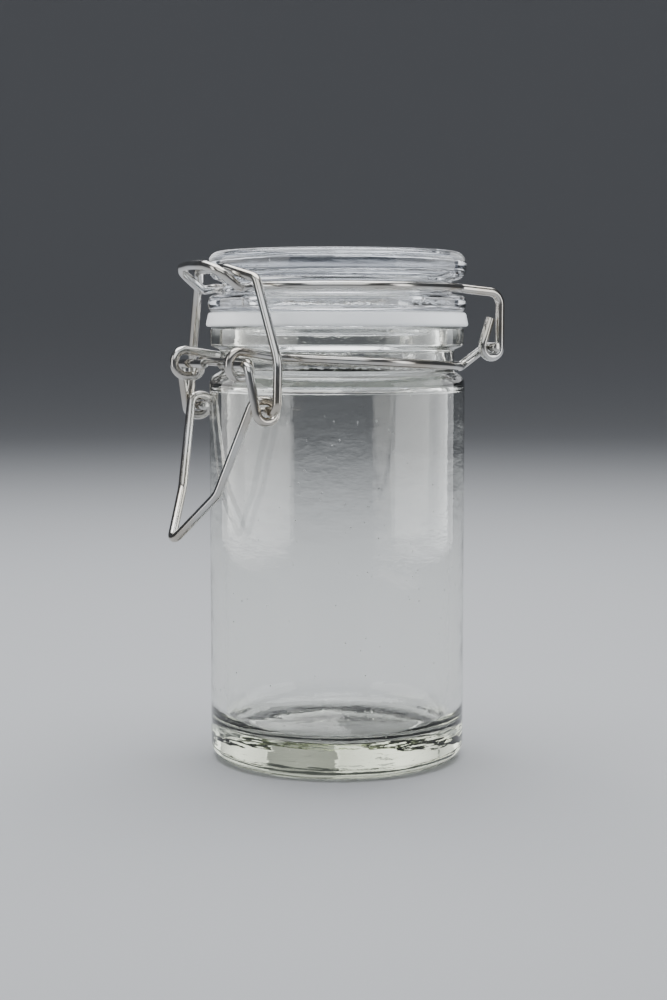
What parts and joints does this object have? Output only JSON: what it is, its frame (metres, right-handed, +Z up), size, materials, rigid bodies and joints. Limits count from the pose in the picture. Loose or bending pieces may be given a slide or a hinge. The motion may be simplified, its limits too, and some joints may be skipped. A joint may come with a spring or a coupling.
{
  "type": "clip-top glass canister",
  "caption": "Small clear glass storage jar with a hinged glass lid, a soft seal and an over-centre wire clasp.",
  "frame": {"origin": "centre of the flat ring that the jar stands on", "axes": "+Z up along the jar's axis, -Y towards the clasp, +Y towards the hinge, X along the hinge and clasp pins"},
  "size_m": [0.0532, 0.068, 0.1032],
  "materials": {
    "jar_glass": "clear, polished",
    "lid_glass": "clear, polished",
    "seal": "milky, soft",
    "steel_wire": "bright drawn wire"
  },
  "bodies": {
    "jar": {"glass_jar": "jar_glass", "neck_wire": "steel_wire"},
    "lid": {"glass_lid": "lid_glass", "seal_ring": "seal", "lid_wire": "steel_wire"},
    "lever": {"lever": "steel_wire"},
    "bail": {"bail": "steel_wire"}
  },
  "joints": [
    {"name": "lid_hinge", "type": "hinge", "parent": "jar", "child": "lid", "pos_m": [0, 0.0284, 0.084], "axis": [-1, 0, 0], "range_deg": [0, 194]},
    {"name": "lever_pivot", "type": "hinge", "parent": "jar", "child": "lever", "pos_m": [0, -0.0273, 0.0807], "axis": [-1, 0, 0], "range_deg": [0, 75]},
    {"name": "bail_pivot", "type": "hinge", "parent": "lever", "child": "bail", "pos_m": [0, -0.0234, 0.072], "axis": [1, 0, 0], "range_deg": [0, 138]}
  ],
  "couplings": [
    {"joint": "lever_pivot", "follows": "lid_hinge", "ratio": 0.3866},
    {"joint": "bail_pivot", "follows": "lid_hinge", "ratio": 0.71134}
  ]
}
